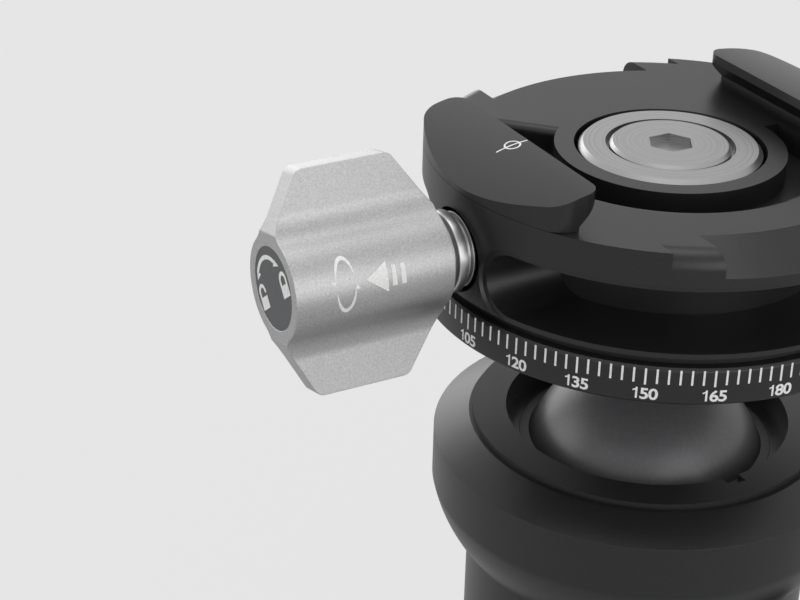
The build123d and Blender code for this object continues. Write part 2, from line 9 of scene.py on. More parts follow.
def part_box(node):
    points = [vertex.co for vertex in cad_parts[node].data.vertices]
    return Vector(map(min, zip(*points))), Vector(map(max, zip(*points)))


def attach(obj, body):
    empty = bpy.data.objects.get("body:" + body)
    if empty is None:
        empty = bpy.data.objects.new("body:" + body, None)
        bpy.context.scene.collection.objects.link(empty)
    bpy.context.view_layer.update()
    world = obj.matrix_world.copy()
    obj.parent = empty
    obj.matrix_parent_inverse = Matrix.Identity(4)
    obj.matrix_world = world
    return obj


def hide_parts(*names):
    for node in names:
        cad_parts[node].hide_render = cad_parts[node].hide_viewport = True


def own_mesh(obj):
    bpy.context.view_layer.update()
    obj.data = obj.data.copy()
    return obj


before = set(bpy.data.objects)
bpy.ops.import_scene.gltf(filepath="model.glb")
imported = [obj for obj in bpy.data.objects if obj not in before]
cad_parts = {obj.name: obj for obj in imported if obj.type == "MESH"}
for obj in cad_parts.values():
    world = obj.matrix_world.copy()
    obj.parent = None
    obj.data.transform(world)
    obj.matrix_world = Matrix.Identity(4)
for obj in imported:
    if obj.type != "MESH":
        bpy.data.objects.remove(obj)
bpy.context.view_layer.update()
mm = 0.001
scene = bpy.context.scene
scene.view_settings.view_transform = "Standard"
print("frame loaded:", len(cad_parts), "nodes")


def linearColour(hexText):
    channels = [int(hexText[i:i + 2], 16) / 255 for i in (1, 3, 5)]
    return tuple(c / 12.92 if c <= 0.04045 else ((c + 0.055) / 1.055) ** 2.4 for c in channels) + (1.0,)


def addNode(tree, kind, settings=None, links=None):
    node = tree.nodes.new(kind)
    for key, value in (settings or {}).items():
        if isinstance(key, int) or key in node.inputs:
            node.inputs[key].default_value = value
        else:
            setattr(node, key, value)
    for key, source in (links or {}).items():
        tree.links.new(source, node.inputs[key])
    return node


def newMaterial(name):
    material = bpy.data.materials.new(name)
    material.use_nodes = True
    material.node_tree.nodes.clear()
    return material, material.node_tree


def newPiece(name, mesh):
    piece = bpy.data.objects.new(name, mesh)
    scene.collection.objects.link(piece)
    return piece


def boxOf(node):
    low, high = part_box(node)
    return low / mm, high / mm


def smoothed(mesh, angle):
    # smooth shading, sharp where faces meet at more than an angle in degrees
    mesh.shade_smooth()
    mesh.set_sharp_from_angle(angle=radians(angle))
    return mesh


def meshFrom(bm, name, angle):
    bmesh.ops.remove_doubles(bm, verts=bm.verts, dist=1e-7)
    bmesh.ops.recalc_face_normals(bm, faces=bm.faces)
    mesh = bpy.data.meshes.new(name)
    bm.to_mesh(mesh)
    bm.free()
    return smoothed(mesh, angle)


def applied(piece):
    # the evaluated object as a plain mesh, without its modifiers
    result = bpy.data.meshes.new_from_object(piece.evaluated_get(bpy.context.evaluated_depsgraph_get()))
    piece.modifiers.clear()
    piece.data = result
    return piece


cornerSteps, cornerShare, onAxis = 3, 0.45, 1e-6


def softenedOutline(points, softness):
    # every corner of a closed outline becomes a small arc, at most this share of its two sides long
    result = []
    for index, point in enumerate(points):
        here = Vector(point[:2])
        reach = point[2] if len(point) > 2 else softness
        before = Vector(points[index - 1][:2]) - here
        after = Vector(points[(index + 1) % len(points)][:2]) - here
        reach = min(reach, before.length * cornerShare, after.length * cornerShare)
        if here.x < onAxis or reach < 1e-4:
            result.append(here)
            continue
        start, end = here + before.normalized() * reach, here + after.normalized() * reach
        for step in range(cornerSteps + 1):
            t = step / cornerSteps
            result.append(start * (1 - t) ** 2 + here * 2 * t * (1 - t) + end * t ** 2)
    return result


def turnedPiece(name, points, softness, steps, place=None):
    # solid turned about Z from (radius, height) in millimetres
    outline = softenedOutline(points, softness)
    bm = bmesh.new()
    rings = []
    for point in outline:
        if point.x < onAxis:
            rings.append([bm.verts.new((0, 0, point.y * mm))])
        else:
            radius, height = point.x * mm, point.y * mm
            turns = [2 * pi * k / steps for k in range(steps)]
            rings.append([bm.verts.new((radius * cos(turn), radius * sin(turn), height)) for turn in turns])
    for index, ring in enumerate(rings):
        other = rings[(index + 1) % len(rings)]
        if len(ring) == 1 and len(other) == 1:
            continue
        for k in range(steps):
            n = (k + 1) % steps
            if len(ring) == 1:
                bm.faces.new((ring[0], other[n], other[k]))
            elif len(other) == 1:
                bm.faces.new((ring[k], ring[n], other[0]))
            else:
                bm.faces.new((ring[k], ring[n], other[n], other[k]))
    if place:
        bmesh.ops.transform(bm, matrix=place, verts=bm.verts)
    return newPiece(name, meshFrom(bm, name, angle=24))


def alongX(x, y, z):
    # takes a turned piece's axis to +X and its origin to a point in millimetres
    return Matrix.Translation(Vector((x, y, z)) * mm) @ Matrix.Rotation(pi / 2, 4, "Y")


# how the nodes' meshes are cleaned: merging distance in metres, angle in degrees up to which neighbours count
# as one flat face, and how much large faces lead the shading at an edge
dressing = {"merge": 2e-6, "flatWithin": 0.1, "faceLead": 90}


def dressedCopy(name, node, softness, angle=30, segments=2, weld=0.002):
    # the node's own shape with softened edges; softness and weld in millimetres
    bm = bmesh.new()
    bm.from_mesh(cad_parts[node].data)
    bmesh.ops.remove_doubles(bm, verts=bm.verts, dist=dressing["merge"])
    bmesh.ops.dissolve_limit(bm, angle_limit=radians(dressing["flatWithin"]), verts=bm.verts, edges=bm.edges)
    bmesh.ops.remove_doubles(bm, verts=bm.verts, dist=weld * mm)
    mesh = bpy.data.meshes.new(name)
    bm.to_mesh(mesh)
    bm.free()
    piece = newPiece(name, mesh)
    bevel = piece.modifiers.new("edges", "BEVEL")
    bevel.width = softness * mm
    bevel.segments = segments
    bevel.limit_method = "ANGLE"
    bevel.angle_limit = radians(angle)
    bevel.miter_outer = "MITER_ARC"
    applied(piece)
    smoothed(piece.data, angle)
    evened = piece.modifiers.new("evened", "WEIGHTED_NORMAL")
    evened.mode = "FACE_AREA_WITH_ANGLE"
    evened.keep_sharp = True
    evened.weight = dressing["faceLead"]
    return applied(piece)


def fitOut(piece, body, materialSlot, material, *nodes):
    piece.data.materials.clear()
    piece.data.materials.append(material)
    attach(piece, body)
    if nodes:
        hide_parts(*nodes)
    return piece


# depth of the bumps in metres, the turned metals' fine grain and the heights of the two shafts in millimetres
grainDepth, markDepth = 0.00002, 0.00001
turnedGrain = 0.25
clampAxis, lockAxis = 74.35, 22.75


def grainyMetal(name, look):
    # blasted and anodised metal: fine even grain, faint clouds in the dye; sizes in millimetres
    material, tree = newMaterial(name)
    place = addNode(tree, "ShaderNodeTexCoord")
    grain = addNode(tree, "ShaderNodeTexNoise",
                    {"Scale": 1 / (look["grainSize"] * mm), "Detail": 3.0, "Roughness": 0.65},
                    {"Vector": place.outputs["Object"]})
    clouds = addNode(tree, "ShaderNodeTexNoise", {"Scale": 1 / (look["cloudSize"] * mm), "Detail": 2.0},
                     {"Vector": place.outputs["Object"]})
    tone = addNode(tree, "ShaderNodeValToRGB", None, {"Fac": grain.outputs["Fac"]})
    tone.color_ramp.elements[0].position, tone.color_ramp.elements[1].position = 0.3, 0.72
    tone.color_ramp.elements[0].color = linearColour(look["darkGrain"])
    tone.color_ramp.elements[1].color = linearColour(look["lightGrain"])
    shade = addNode(tree, "ShaderNodeMix",
                    {"data_type": "RGBA", "blend_type": "MULTIPLY", "Factor": look["cloudiness"]},
                    {6: tone.outputs["Color"], 7: clouds.outputs["Fac"]})
    rough = addNode(tree, "ShaderNodeMapRange",
                    {"To Min": look["roughness"] - 0.05, "To Max": look["roughness"] + 0.07},
                    {"Value": grain.outputs["Fac"]})
    bump = addNode(tree, "ShaderNodeBump", {"Strength": look["bump"], "Distance": grainDepth},
                   {"Height": grain.outputs["Fac"]})
    shader = addNode(tree, "ShaderNodeBsdfPrincipled", {"Metallic": look["metallic"]},
                     {"Base Color": shade.outputs[2], "Roughness": rough.outputs["Result"],
                      "Normal": bump.outputs["Normal"]})
    addNode(tree, "ShaderNodeOutputMaterial", None, {"Surface": shader.outputs["BSDF"]})
    return material


def turnedMetal(name, look, axis):
    # lathe-turned metal: fine circular tool marks round the axis through its centre
    material, tree = newMaterial(name)
    place = addNode(tree, "ShaderNodeTexCoord")
    shift = addNode(tree, "ShaderNodeMapping", {"Location": tuple(-c * mm for c in look["centre"])},
                    {"Vector": place.outputs["Object"]})
    parts = addNode(tree, "ShaderNodeSeparateXYZ", None, {"Vector": shift.outputs["Vector"]})
    across = [parts.outputs[c] for c in "XYZ" if c != axis]
    flat = addNode(tree, "ShaderNodeCombineXYZ", None, {"X": across[0], "Y": across[1]})
    radius = addNode(tree, "ShaderNodeVectorMath", {"operation": "LENGTH"}, {0: flat.outputs["Vector"]})
    travel = addNode(tree, "ShaderNodeMath", {"operation": "ADD"},
                     {0: radius.outputs["Value"], 1: parts.outputs[axis]})
    lines = addNode(tree, "ShaderNodeTexNoise",
                    {"noise_dimensions": "1D", "Scale": 1 / (look["markSize"] * mm), "Detail": 3.0},
                    {"W": travel.outputs["Value"]})
    grain = addNode(tree, "ShaderNodeTexNoise", {"Scale": 1 / (turnedGrain * mm), "Detail": 2.0},
                    {"Vector": place.outputs["Object"]})
    tone = addNode(tree, "ShaderNodeValToRGB", None, {"Fac": lines.outputs["Fac"]})
    tone.color_ramp.elements[0].position, tone.color_ramp.elements[1].position = 0.25, 0.75
    tone.color_ramp.elements[0].color = linearColour(look["darkMark"])
    tone.color_ramp.elements[1].color = linearColour(look["lightMark"])
    rough = addNode(tree, "ShaderNodeMapRange",
                    {"To Min": look["roughness"] - 0.05, "To Max": look["roughness"] + 0.08},
                    {"Value": grain.outputs["Fac"]})
    bump = addNode(tree, "ShaderNodeBump", {"Strength": look["bump"], "Distance": markDepth},
                   {"Height": lines.outputs["Fac"]})
    shader = addNode(tree, "ShaderNodeBsdfPrincipled", {"Metallic": 1.0},
                     {"Base Color": tone.outputs["Color"], "Roughness": rough.outputs["Result"],
                      "Normal": bump.outputs["Normal"]})
    addNode(tree, "ShaderNodeOutputMaterial", None, {"Surface": shader.outputs["BSDF"]})
    return material


def mouldedPlastic(name, look):
    # moulded or machined acetal: faint mottling, soft sheen
    material, tree = newMaterial(name)
    place = addNode(tree, "ShaderNodeTexCoord")
    mottle = addNode(tree, "ShaderNodeTexNoise", {"Scale": 1 / (look["grainSize"] * mm), "Detail": 4.0},
                     {"Vector": place.outputs["Object"]})
    tone = addNode(tree, "ShaderNodeValToRGB", None, {"Fac": mottle.outputs["Fac"]})
    tone.color_ramp.elements[0].position, tone.color_ramp.elements[1].position = 0.3, 0.7
    tone.color_ramp.elements[0].color = linearColour(look["darkGrain"])
    tone.color_ramp.elements[1].color = linearColour(look["lightGrain"])
    rough = addNode(tree, "ShaderNodeMapRange",
                    {"To Min": look["roughness"] - 0.06, "To Max": look["roughness"] + 0.06},
                    {"Value": mottle.outputs["Fac"]})
    bump = addNode(tree, "ShaderNodeBump", {"Strength": look["bump"], "Distance": grainDepth},
                   {"Height": mottle.outputs["Fac"]})
    shader = addNode(tree, "ShaderNodeBsdfPrincipled", {"IOR": 1.48},
                     {"Base Color": tone.outputs["Color"], "Roughness": rough.outputs["Result"],
                      "Normal": bump.outputs["Normal"]})
    addNode(tree, "ShaderNodeOutputMaterial", None, {"Surface": shader.outputs["BSDF"]})
    return material


# black-dyed anodised aluminium, bead-blasted: matt, with a grain that just shows
blackAnodised = grainyMetal("blackAnodisedAluminium", {
    "darkGrain": "#131314", "lightGrain": "#222223", "grainSize": 0.16, "cloudSize": 9.0, "cloudiness": 0.2,
    "roughness": 0.31, "metallic": 0.0, "bump": 0.9})
# the ball: ground smooth before it is dyed grey
greyBall = grainyMetal("polishedGreyAnodised", {
    "darkGrain": "#59595b", "lightGrain": "#626264", "grainSize": 0.5, "cloudSize": 12.0, "cloudiness": 0.15,
    "roughness": 0.36, "metallic": 0.2, "bump": 0.08})
# clear-dyed knob: blasted aluminium, silvery grey
greyKnob = grainyMetal("silverAnodisedAluminium", {
    "darkGrain": "#a9a9a9", "lightGrain": "#cacaca", "grainSize": 0.2, "cloudSize": 8.0, "cloudiness": 0.1,
    "roughness": 0.42, "metallic": 0.85, "bump": 0.3})
brightDisc = turnedMetal("turnedBrightAluminium", {
    "darkMark": "#9e9e9e", "lightMark": "#bababa", "markSize": 0.2, "roughness": 0.34, "bump": 0.15,
    "centre": (0, 0, 0)}, "Z")
upperSteel = turnedMetal("turnedSteelClamp", {
    "darkMark": "#9c9c9c", "lightMark": "#d2d2d2", "markSize": 0.35, "roughness": 0.26, "bump": 0.25,
    "centre": (0, 0, clampAxis)}, "X")
polishedSteel = turnedMetal("polishedCollarSteel", {
    "darkMark": "#b4b4b4", "lightMark": "#d0d0d0", "markSize": 0.5, "roughness": 0.3, "bump": 0.1,
    "centre": (0, 0, clampAxis)}, "X")
lowerSteel = turnedMetal("turnedSteelLock", {
    "darkMark": "#9c9c9c", "lightMark": "#cccccc", "markSize": 0.35, "roughness": 0.3, "bump": 0.2,
    "centre": (0, 0, lockAxis)}, "X")
baseSteel = turnedMetal("turnedSteelBase", {
    "darkMark": "#a3a3a3", "lightMark": "#cdcdcd", "markSize": 0.3, "roughness": 0.33, "bump": 0.2,
    "centre": (0, 0, 0)}, "Z")
brassStock = turnedMetal("turnedBrass", {
    "darkMark": "#a98a4e", "lightMark": "#d2b274", "markSize": 0.3, "roughness": 0.32, "bump": 0.2,
    "centre": (0, 0, clampAxis)}, "X")
springWire = turnedMetal("drawnSpringWire", {
    "darkMark": "#8b8b8b", "lightMark": "#bcbcbc", "markSize": 0.4, "roughness": 0.3, "bump": 0.1,
    "centre": (0, 0, 0)}, "X")
blackOxide = turnedMetal("blackOxideSteel", {
    "darkMark": "#2a2a2b", "lightMark": "#3d3d3e", "markSize": 0.3, "roughness": 0.4, "bump": 0.2,
    "centre": (0, 0, 0)}, "Z")
blackAcetal = mouldedPlastic("blackAcetal", {
    "darkGrain": "#161617", "lightGrain": "#1f1f20", "grainSize": 0.8, "roughness": 0.45, "bump": 0.1})
greyAcetal = mouldedPlastic("greyAcetal", {
    "darkGrain": "#4a4a4b", "lightGrain": "#565657", "grainSize": 0.8, "roughness": 0.42, "bump": 0.1})
inlayDisc = mouldedPlastic("mattInlay", {
    "darkGrain": "#4b4c4e", "lightGrain": "#58595b", "grainSize": 0.3, "roughness": 0.5, "bump": 0.2})
whitePaint = mouldedPlastic("whitePrintingInk", {
    "darkGrain": "#d9d9d8", "lightGrain": "#f0f0ef", "grainSize": 0.25, "roughness": 0.55, "bump": 0.1})
print("materials made")


# sizes in millimetres, the neck's angle from the ball's pole in radians
ballPiece = {"radius": 16.0, "neckRadius": 7.0, "neckAngle": 0.4515, "flareRadius": 10.0, "flareHeight": 4.0,
             "flareEdge": 1.0, "screwRadius": 4.0}
ringPiece = {"radius": 30.0, "height": 4.7, "edge": 0.35, "hubRadius": 9.5, "hubHeight": 10.35,
             "screwRadius": 4.0}
thrustPiece = {"headRadius": 4.95, "headLength": 2.4, "waistRadius": 4.4, "waistLength": 0.95,
               "waistSlope": 0.3, "neckRadius": 3.85, "neckLength": 1.2, "lipRadius": 4.5, "lipWidth": 0.3,
               "tailRadius": 3.44, "boreRadius": 3.1, "clear": 0.015}


def middleZ(node):
    low, high = boxOf(node)
    return (low.z + high.z) / 2


ballMid = boxOf("ball")[0].z + ballPiece["radius"]
ringLow = boxOf("scale_ring")[0].z
ringTop = ringLow + ringPiece["height"]
spindleZ = middleZ("thrust_collar")
lockZ = middleZ("lock_shaft")


def makeBall():
    size, arcSteps = ballPiece, 60
    r, n, flare, screw = size["radius"], size["neckRadius"], size["flareRadius"], size["screwRadius"]
    meet, screwLow = sqrt(r * r - n * n), boxOf("hub_screw")[0].z
    outline = [(0, ballMid - r, 0)]
    for step in range(1, arcSteps):
        angle = -pi / 2 + (pi - size["neckAngle"]) * step / arcSteps
        outline.append((r * cos(angle), ballMid + r * sin(angle), 0))
    outline += [(n, ballMid + meet, 0.5), (n, ringLow - size["flareHeight"], 1.2),
                (flare, ringLow - size["flareEdge"], 0.2), (flare, ringLow, 0.05), (screw, ringLow, 0.05),
                (screw, screwLow, 0.05), (0, screwLow, 0)]
    return turnedPiece("ballAndNeck", outline, softness=0.2, steps=160)


def makeThrustCollar():
    # steel collar seated on the jaw, round the spindle: waisted head, neck with a thin lip, tail
    size, (low, high) = thrustPiece, boxOf("thrust_collar")
    bore, slope = size["boreRadius"], size["waistLength"] + size["waistSlope"]
    length, head = high.x - low.x - size["clear"], size["headLength"]
    neck = head + size["neckLength"] - size["clear"]
    lip = neck - size["lipWidth"]
    outline = [
        (bore, 0), (size["waistRadius"], 0, 0.1), (size["waistRadius"], size["waistLength"], 0.3),
        (size["headRadius"], slope, 0.2), (size["headRadius"], head, 0.15), (size["neckRadius"], head, 0.08),
        (size["neckRadius"], lip, 0.05), (size["lipRadius"], lip, 0.08), (size["lipRadius"], neck, 0.08),
        (size["tailRadius"], neck, 0.05), (size["tailRadius"], length, 0.1), (bore, length)]
    return turnedPiece("thrustCollar", outline, softness=0.05, steps=96, place=alongX(low.x, 0, spindleZ))


def makeRing():
    size = ringPiece
    r, edge, hub, screw = size["radius"], size["edge"], size["hubRadius"], size["screwRadius"]
    hubTop = ringTop + size["hubHeight"]
    outline = [
        (screw, ringLow), (r - edge, ringLow, 0.1), (r, ringLow + edge, 0.1), (r, ringTop - edge, 0.1),
        (r - edge, ringTop, 0.1), (hub, ringTop, 0.1), (hub, hubTop, 0.1), (screw, hubTop)]
    return turnedPiece("scaleRing", outline, softness=0.1, steps=192)


fitOut(makeBall(), "ball", "ball_anodised", greyBall, "ball")
fitOut(makeRing(), "ball", "black_anodised", blackAnodised, "scale_ring")
fitOut(makeThrustCollar(), "jaw", "steel", polishedSteel, "thrust_collar")
fitOut(dressedCopy("seatCollar", "collar", softness=0.2, angle=15), "housing", "black_anodised",
       blackAnodised, "collar")
fitOut(dressedCopy("housingShell", "housing", softness=0.3, angle=15), "housing", "black_anodised",
       blackAnodised, "housing")
fitOut(dressedCopy("baseWithSpigot", "base_plate", softness=0.15), "base", "black_anodised",
       blackAnodised, "base_plate")
print("ball, ring and housing made")

fitOut(dressedCopy("clampBody", "clamp_body", softness=0.22), "clamp", "black_anodised",
       blackAnodised, "clamp_body")
jawPiece = fitOut(dressedCopy("movingJaw", "jaw", softness=0.18, weld=0.1), "jaw", "black_anodised",
                  blackAnodised, "jaw")
fitOut(dressedCopy("wingKnob", "clamp_knob", softness=0.45, angle=25, segments=3), "knob", "grey_knob",
       greyKnob, "clamp_knob")
fitOut(dressedCopy("lockWingKnob", "lock_knob", softness=0.45, angle=25, segments=3), "lock_knob",
       "grey_knob", greyKnob, "lock_knob")
fitOut(dressedCopy("panThumbScrew", "pan_knob", softness=0.2), "pan_knob", "black_anodised",
       blackAnodised, "pan_knob")
fitOut(dressedCopy("basePanThumbScrew", "base_pan_knob", softness=0.2), "base_pan_knob", "black_anodised",
       blackAnodised, "base_pan_knob")
print("clamp and knobs made")


def newTree(name, inputs):
    # a geometry tree with these inputs and their first values; a whole number makes a counting input
    tree = bpy.data.node_groups.new(name, "GeometryNodeTree")
    tree.interface.new_socket("Geometry", in_out="INPUT", socket_type="NodeSocketGeometry")
    for label, value in inputs.items():
        kind = "NodeSocketInt" if isinstance(value, int) else "NodeSocketFloat"
        tree.interface.new_socket(label, in_out="INPUT", socket_type=kind).default_value = value
    tree.interface.new_socket("Geometry", in_out="OUTPUT", socket_type="NodeSocketGeometry")
    return tree


def grown(name, tree, sizes):
    # what a geometry tree makes of these sizes, as a plain mesh
    piece = newPiece(name, bpy.data.meshes.new(name))
    nodes = piece.modifiers.new("grown", "NODES")
    nodes.node_group = tree
    for item in tree.interface.items_tree:
        if item.name in sizes:
            nodes[item.identifier] = sizes[item.name]
    return applied(piece)


def finishTree(tree, geometry, material):
    real = addNode(tree, "GeometryNodeRealizeInstances", None, {"Geometry": geometry})
    paint = addNode(tree, "GeometryNodeSetMaterial", {"Material": material},
                    {"Geometry": real.outputs["Geometry"]})
    addNode(tree, "NodeGroupOutput", None, {"Geometry": paint.outputs["Geometry"]})


def coilTree(material):
    # round wire along a spiral of constant radius
    tree = newTree("coilSpring", {"Turns": 4.0, "Coil radius": 0.001, "Length": 0.005, "Wire radius": 0.0002})
    given = addNode(tree, "NodeGroupInput")
    spiral = addNode(tree, "GeometryNodeCurveSpiral", {"Resolution": 28},
                     {"Rotations": given.outputs["Turns"], "Start Radius": given.outputs["Coil radius"],
                      "End Radius": given.outputs["Coil radius"], "Height": given.outputs["Length"]})
    wire = addNode(tree, "GeometryNodeCurvePrimitiveCircle", {"Resolution": 10},
                   {"Radius": given.outputs["Wire radius"]})
    tube = addNode(tree, "GeometryNodeCurveToMesh", {"Fill Caps": True},
                   {"Curve": spiral.outputs["Curve"], "Profile Curve": wire.outputs["Curve"]})
    finishTree(tree, tube.outputs["Mesh"], material)
    return tree


def makeSprings(name, node, tree, size):
    # coils along X as long as the node's box, at these places on Y
    low, high = boxOf(node)
    length = high.x - low.x - 2 * size["wireRadius"]
    bm = bmesh.new()
    for y in size["places"]:
        coil = grown(name + "Coil", tree, {
            "Turns": size["turns"], "Coil radius": size["radius"] * mm, "Length": length * mm,
            "Wire radius": size["wireRadius"] * mm})
        coil.data.transform(alongX(low.x + size["wireRadius"], y, middleZ(node)))
        bm.from_mesh(coil.data)
        bpy.data.objects.remove(coil)
    return newPiece(name, meshFrom(bm, name, angle=60))


coil = coilTree(springWire)
jawSpringSize = {"turns": 4.0, "radius": 1.4, "wireRadius": 0.2, "places": (-8.6, 8.6)}
knobSpringSize = {"turns": 5.0, "radius": 3.6, "wireRadius": 0.2, "places": (0.0,)}
jawSpring = fitOut(makeSprings("jawReturnSprings", "jaw_springs", coil, jawSpringSize), "clamp",
                   "spring_steel", springWire, "jaw_springs")
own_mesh(jawSpring)
knobSpring = fitOut(makeSprings("knobSpring", "knob_spring", coil, knobSpringSize), "spindle",
                    "spring_steel", springWire, "knob_spring")
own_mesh(knobSpring)
print("springs made")


scaleMarks = {"count": 144, "every": 6, "firstAt": 82.1, "width": 0.24, "short": 1.85, "long": 2.06,
              "proud": 0.02, "numberHeight": 1.42, "numberBelow": 0.4, "capShare": 0.73, "bold": 0.05,
              "pitch": 1.02, "wide": 1.12}


def marksTree(material):
    # bars round a rim, every so many of them longer; the tops are level
    tree = newTree("degreeMarks", {
        "Count": 144, "Long every": 6, "Radius": 0.03, "Top": 0.06, "First angle": 0.0, "Width": 0.0003,
        "Short": 0.0018, "Long": 0.002, "Thickness": 0.00004})
    given = addNode(tree, "NodeGroupInput")
    index = addNode(tree, "GeometryNodeInputIndex")
    share = addNode(tree, "ShaderNodeMath", {"operation": "DIVIDE"},
                    {0: index.outputs[0], 1: given.outputs["Count"]})
    turn = addNode(tree, "ShaderNodeMath", {"operation": "MULTIPLY_ADD", 1: 2 * pi},
                   {0: share.outputs[0], 2: given.outputs["First angle"]})
    east = addNode(tree, "ShaderNodeMath", {"operation": "COSINE"}, {0: turn.outputs[0]})
    north = addNode(tree, "ShaderNodeMath", {"operation": "SINE"}, {0: turn.outputs[0]})
    direction = addNode(tree, "ShaderNodeCombineXYZ", None, {"X": east.outputs[0], "Y": north.outputs[0]})
    rim = addNode(tree, "ShaderNodeVectorMath", {"operation": "SCALE"},
                  {0: direction.outputs[0], "Scale": given.outputs["Radius"]})
    rest = addNode(tree, "ShaderNodeMath", {"operation": "MODULO"},
                   {0: index.outputs[0], 1: given.outputs["Long every"]})
    isLong = addNode(tree, "ShaderNodeMath", {"operation": "LESS_THAN", 1: 0.5}, {0: rest.outputs[0]})
    length = addNode(tree, "GeometryNodeSwitch", {"input_type": "FLOAT"}, {
        "Switch": isLong.outputs[0], "False": given.outputs["Short"], "True": given.outputs["Long"]})
    half = addNode(tree, "ShaderNodeMath", {"operation": "MULTIPLY", 1: -0.5}, {0: length.outputs[0]})
    drop = addNode(tree, "ShaderNodeMath", {"operation": "ADD"},
                   {0: half.outputs[0], 1: given.outputs["Top"]})
    lift = addNode(tree, "ShaderNodeCombineXYZ", None, {"Z": drop.outputs[0]})
    spot = addNode(tree, "ShaderNodeVectorMath", {"operation": "ADD"},
                   {0: rim.outputs[0], 1: lift.outputs[0]})
    points = addNode(tree, "GeometryNodePoints", None,
                     {"Count": given.outputs["Count"], "Position": spot.outputs[0]})
    size = addNode(tree, "ShaderNodeCombineXYZ", None,
                   {"X": given.outputs["Thickness"], "Y": given.outputs["Width"], "Z": length.outputs[0]})
    facing = addNode(tree, "ShaderNodeCombineXYZ", None, {"Z": turn.outputs[0]})
    bar = addNode(tree, "GeometryNodeMeshCube", {"Size": (1, 1, 1)})
    spread = addNode(tree, "GeometryNodeInstanceOnPoints", None, {
        "Points": points.outputs[0], "Instance": bar.outputs["Mesh"], "Rotation": facing.outputs[0],
        "Scale": size.outputs[0]})
    finishTree(tree, spread.outputs[0], material)
    return tree


def makeMarks():
    size = scaleMarks
    return grown("degreeMarks", marksTree(whitePaint), {
        "Count": size["count"], "Long every": size["every"], "Radius": ringPiece["radius"] * mm,
        "Top": (ringTop - ringPiece["edge"] / 2) * mm, "First angle": radians(size["firstAt"]),
        "Width": size["width"] * mm, "Short": size["short"] * mm, "Long": size["long"] * mm,
        "Thickness": 2 * size["proud"] * mm})


def flatDigit(digit, height, bold):
    # one filled digit, centred on x and standing on y = 0, as points and faces in millimetres
    if digit == "1":
        outline = [(0.02, 0), (0.26, 0), (0.26, height), (0.06, height), (-0.02, height - 0.2),
                   (-0.3, height - 0.3), (-0.3, height - 0.48), (0.02, height - 0.38)]
        return outline, [tuple(range(len(outline)))]
    curve = bpy.data.curves.new("digit", "FONT")
    curve.body, curve.size, curve.offset = digit, height / scaleMarks["capShare"], bold
    curve.align_x = "CENTER"
    piece = newPiece("digit", curve)
    mesh = bpy.data.meshes.new_from_object(piece.evaluated_get(bpy.context.evaluated_depsgraph_get()))
    bpy.data.objects.remove(piece)
    wide = scaleMarks["wide"]
    return [(v.co.x * wide, v.co.y) for v in mesh.vertices], [tuple(f.vertices) for f in mesh.polygons]


def makeNumbers():
    size, bm = scaleMarks, bmesh.new()
    radius = ringPiece["radius"] + size["proud"]
    step = size["every"] * 360 // size["count"]
    base = ringTop - ringPiece["edge"] / 2 - size["long"] - size["numberBelow"] - size["numberHeight"]
    digits = {d: flatDigit(d, size["numberHeight"], size["bold"]) for d in "0123456789"}
    for number in range(0, 360, step):
        word = str(number)
        for place, digit in enumerate(word):
            shift = (place - (len(word) - 1) / 2) * size["pitch"]
            points, faces = digits[digit]
            corners = []
            for x, y in points:
                angle = radians(size["firstAt"] + number) + (x + shift) / radius
                spot = Vector((radius * cos(angle), radius * sin(angle), base + y))
                corners.append(bm.verts.new(spot * mm))
            for face in faces:
                bm.faces.new([corners[k] for k in face])
    mesh = bpy.data.meshes.new("scaleNumbers")
    bm.to_mesh(mesh)
    bm.free()
    return newPiece("scaleNumbers", mesh)


fitOut(makeMarks(), "ball", "white_print", whitePaint)
fitOut(makeNumbers(), "ball", "white_print", whitePaint)
print("scale made")


signPrint = {"proud": 0.02, "jawProud": 0.015, "longestEdge": 0.5, "cuts": 3, "taperedTo": 0.15}


def polygonsTo(name, shapes, place):
    # flat filled outlines in millimetres, cut fine enough to follow the surface that place(u, v) gives
    bm = bmesh.new()
    for shape in shapes:
        local = bmesh.new()
        local.faces.new([local.verts.new((u, v, 0)) for u, v in shape])
        bmesh.ops.triangulate(local, faces=local.faces)
        for _ in range(signPrint["cuts"]):
            longEdges = [e for e in local.edges if e.calc_length() > signPrint["longestEdge"]]
            if longEdges:
                bmesh.ops.subdivide_edges(local, edges=longEdges, cuts=1)
                bmesh.ops.triangulate(local, faces=local.faces)
        copy = {v: bm.verts.new(place(v.co.x, v.co.y)) for v in local.verts}
        for face in local.faces:
            bm.faces.new([copy[v] for v in face.verts])
        local.free()
    mesh = bpy.data.meshes.new(name)
    bm.to_mesh(mesh)
    bm.free()
    return newPiece(name, mesh)


def band(centre, radii, start, end, width, steps=28, taper=False):
    # strip along part of an ellipse, its ends in degrees, as a row of four-cornered outlines
    outer, inner, least = [], [], signPrint["taperedTo"]
    for step in range(steps + 1):
        t = step / steps
        angle = radians(start + (end - start) * t)
        half = width / 2 * (sin(pi * t) * (1 - least) + least if taper else 1)
        outer.append((centre[0] + (radii[0] + half) * cos(angle), centre[1] + (radii[1] + half) * sin(angle)))
        inner.append((centre[0] + (radii[0] - half) * cos(angle), centre[1] + (radii[1] - half) * sin(angle)))
    return [[outer[k], outer[k + 1], inner[k + 1], inner[k]] for k in range(steps)]


def turnedShapes(shapes, angle, dx, dy):
    # outlines turned by an angle in degrees, then shifted
    c, s = cos(radians(angle)), sin(radians(angle))
    return [[(c * u - s * v + dx, s * u + c * v + dy) for u, v in shape] for shape in shapes]


